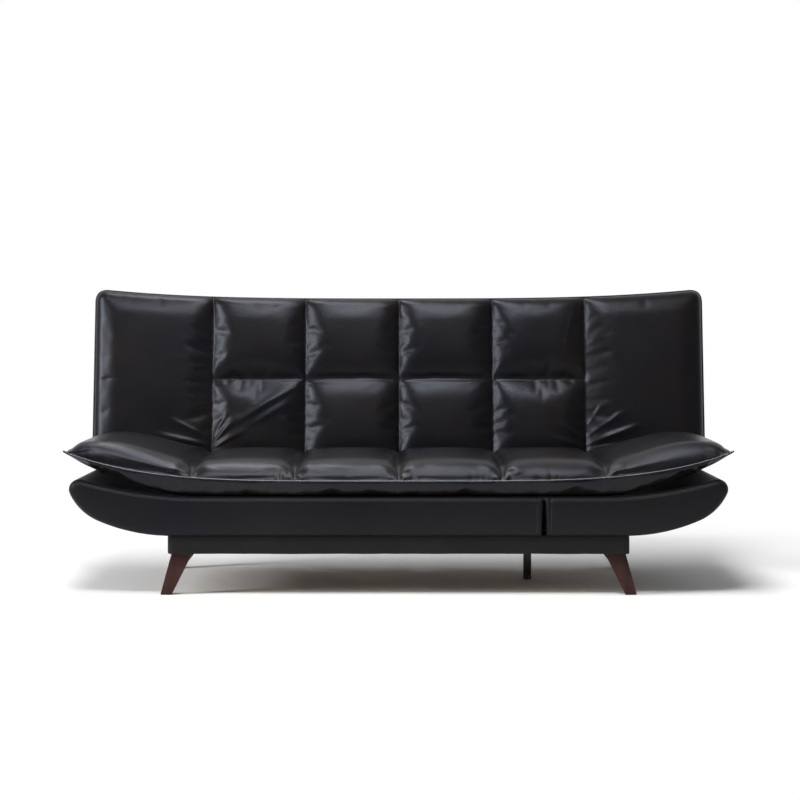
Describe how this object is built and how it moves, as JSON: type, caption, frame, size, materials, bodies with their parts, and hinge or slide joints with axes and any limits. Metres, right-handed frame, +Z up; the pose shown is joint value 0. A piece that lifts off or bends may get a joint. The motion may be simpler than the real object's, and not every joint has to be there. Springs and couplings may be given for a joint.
{
  "type": "futon sofa bed",
  "caption": "Armless sofa bed with a channelled leather backrest that reclines flat on ratchet hinges, an upswept pillow-top seat, a plinth and splayed wooden legs.",
  "frame": {"origin": "centre of the bounding box on the floor", "axes": "+X across the seat to the sitter's left, the longest way; +Y from the front edge to the back; +Z up from the floor"},
  "size_m": [1.9028, 0.9023, 0.8672],
  "materials": {
    "leather": "satin",
    "wrap_fabric": "matte",
    "lining_fabric": "matte",
    "stained_wood": "satin",
    "frame_wood": "matte",
    "black_steel": "satin",
    "zinc_steel": "satin",
    "black_plastic": "matte"
  },
  "bodies": {
    "base": {"base_band": "leather", "base_cross_rails": "frame_wood", "base_front_panel": "leather", "base_front_rail": "frame_wood", "base_left_rail": "frame_wood", "base_rear_panel": "leather", "base_rear_rail": "frame_wood", "base_right_rail": "frame_wood", "bracket_screws": "zinc_steel", "corner_blocks": "frame_wood", "deck_felt": "lining_fabric", "dust_cover": "lining_fabric", "front_left_leg": "stained_wood", "front_right_leg": "stained_wood", "left_pawl_pin": "zinc_steel", "left_pivot_clip": "zinc_steel", "left_pivot_pin": "zinc_steel", "left_seat_bracket": "black_steel", "leg_bolts": "zinc_steel", "leg_glides": "black_plastic", "leg_plates": "black_steel", "plinth_end_wraps": "wrap_fabric", "plinth_front_wrap": "wrap_fabric", "plinth_rear_wrap": "wrap_fabric", "rear_left_leg": "stained_wood", "rear_right_leg": "stained_wood", "right_pawl_pin": "zinc_steel", "right_pivot_clip": "zinc_steel", "right_pivot_pin": "zinc_steel", "right_seat_bracket": "black_steel", "seat_cushion": "leather", "seat_front_board": "frame_wood", "seat_rear_board": "frame_wood", "seat_ribs": "frame_wood", "seat_springs": "zinc_steel", "slot_liner": "lining_fabric", "slot_placket": "leather", "spring_clips": "black_plastic", "support_foot": "black_plastic", "support_leg": "black_steel", "support_plate": "black_steel", "wing_ribs": "frame_wood"},
    "backrest": {"arm_bolts": "zinc_steel", "back_bottom_rail": "frame_wood", "back_centre_stile": "frame_wood", "back_end_stiles": "frame_wood", "back_hinge_stiles": "frame_wood", "back_left_border": "leather", "back_pad": "leather", "back_rear_pad": "leather", "back_right_border": "leather", "back_top_border": "leather", "back_top_rail": "frame_wood", "back_webbing": "lining_fabric", "back_wing_rails": "frame_wood", "back_wing_stiles": "frame_wood", "left_ratchet_arm": "zinc_steel", "right_ratchet_arm": "zinc_steel"},
    "left_pawl": {"left_pawl": "zinc_steel"},
    "right_pawl": {"right_pawl": "zinc_steel"}
  },
  "joints": [
    {"name": "back_recline", "type": "hinge", "parent": "base", "child": "backrest", "pos_m": [0, 0.21889, 0.365], "axis": [-1, 0, 0], "range_deg": [-10, 78]},
    {"name": "left_pawl_swing", "type": "hinge", "parent": "base", "child": "left_pawl", "pos_m": [-0.6025, 0.20689, 0.303], "axis": [1, 0, 0], "range_deg": [0, 11]},
    {"name": "right_pawl_swing", "type": "hinge", "parent": "base", "child": "right_pawl", "pos_m": [0.6025, 0.20689, 0.303], "axis": [1, 0, 0], "range_deg": [0, 11]}
  ]
}
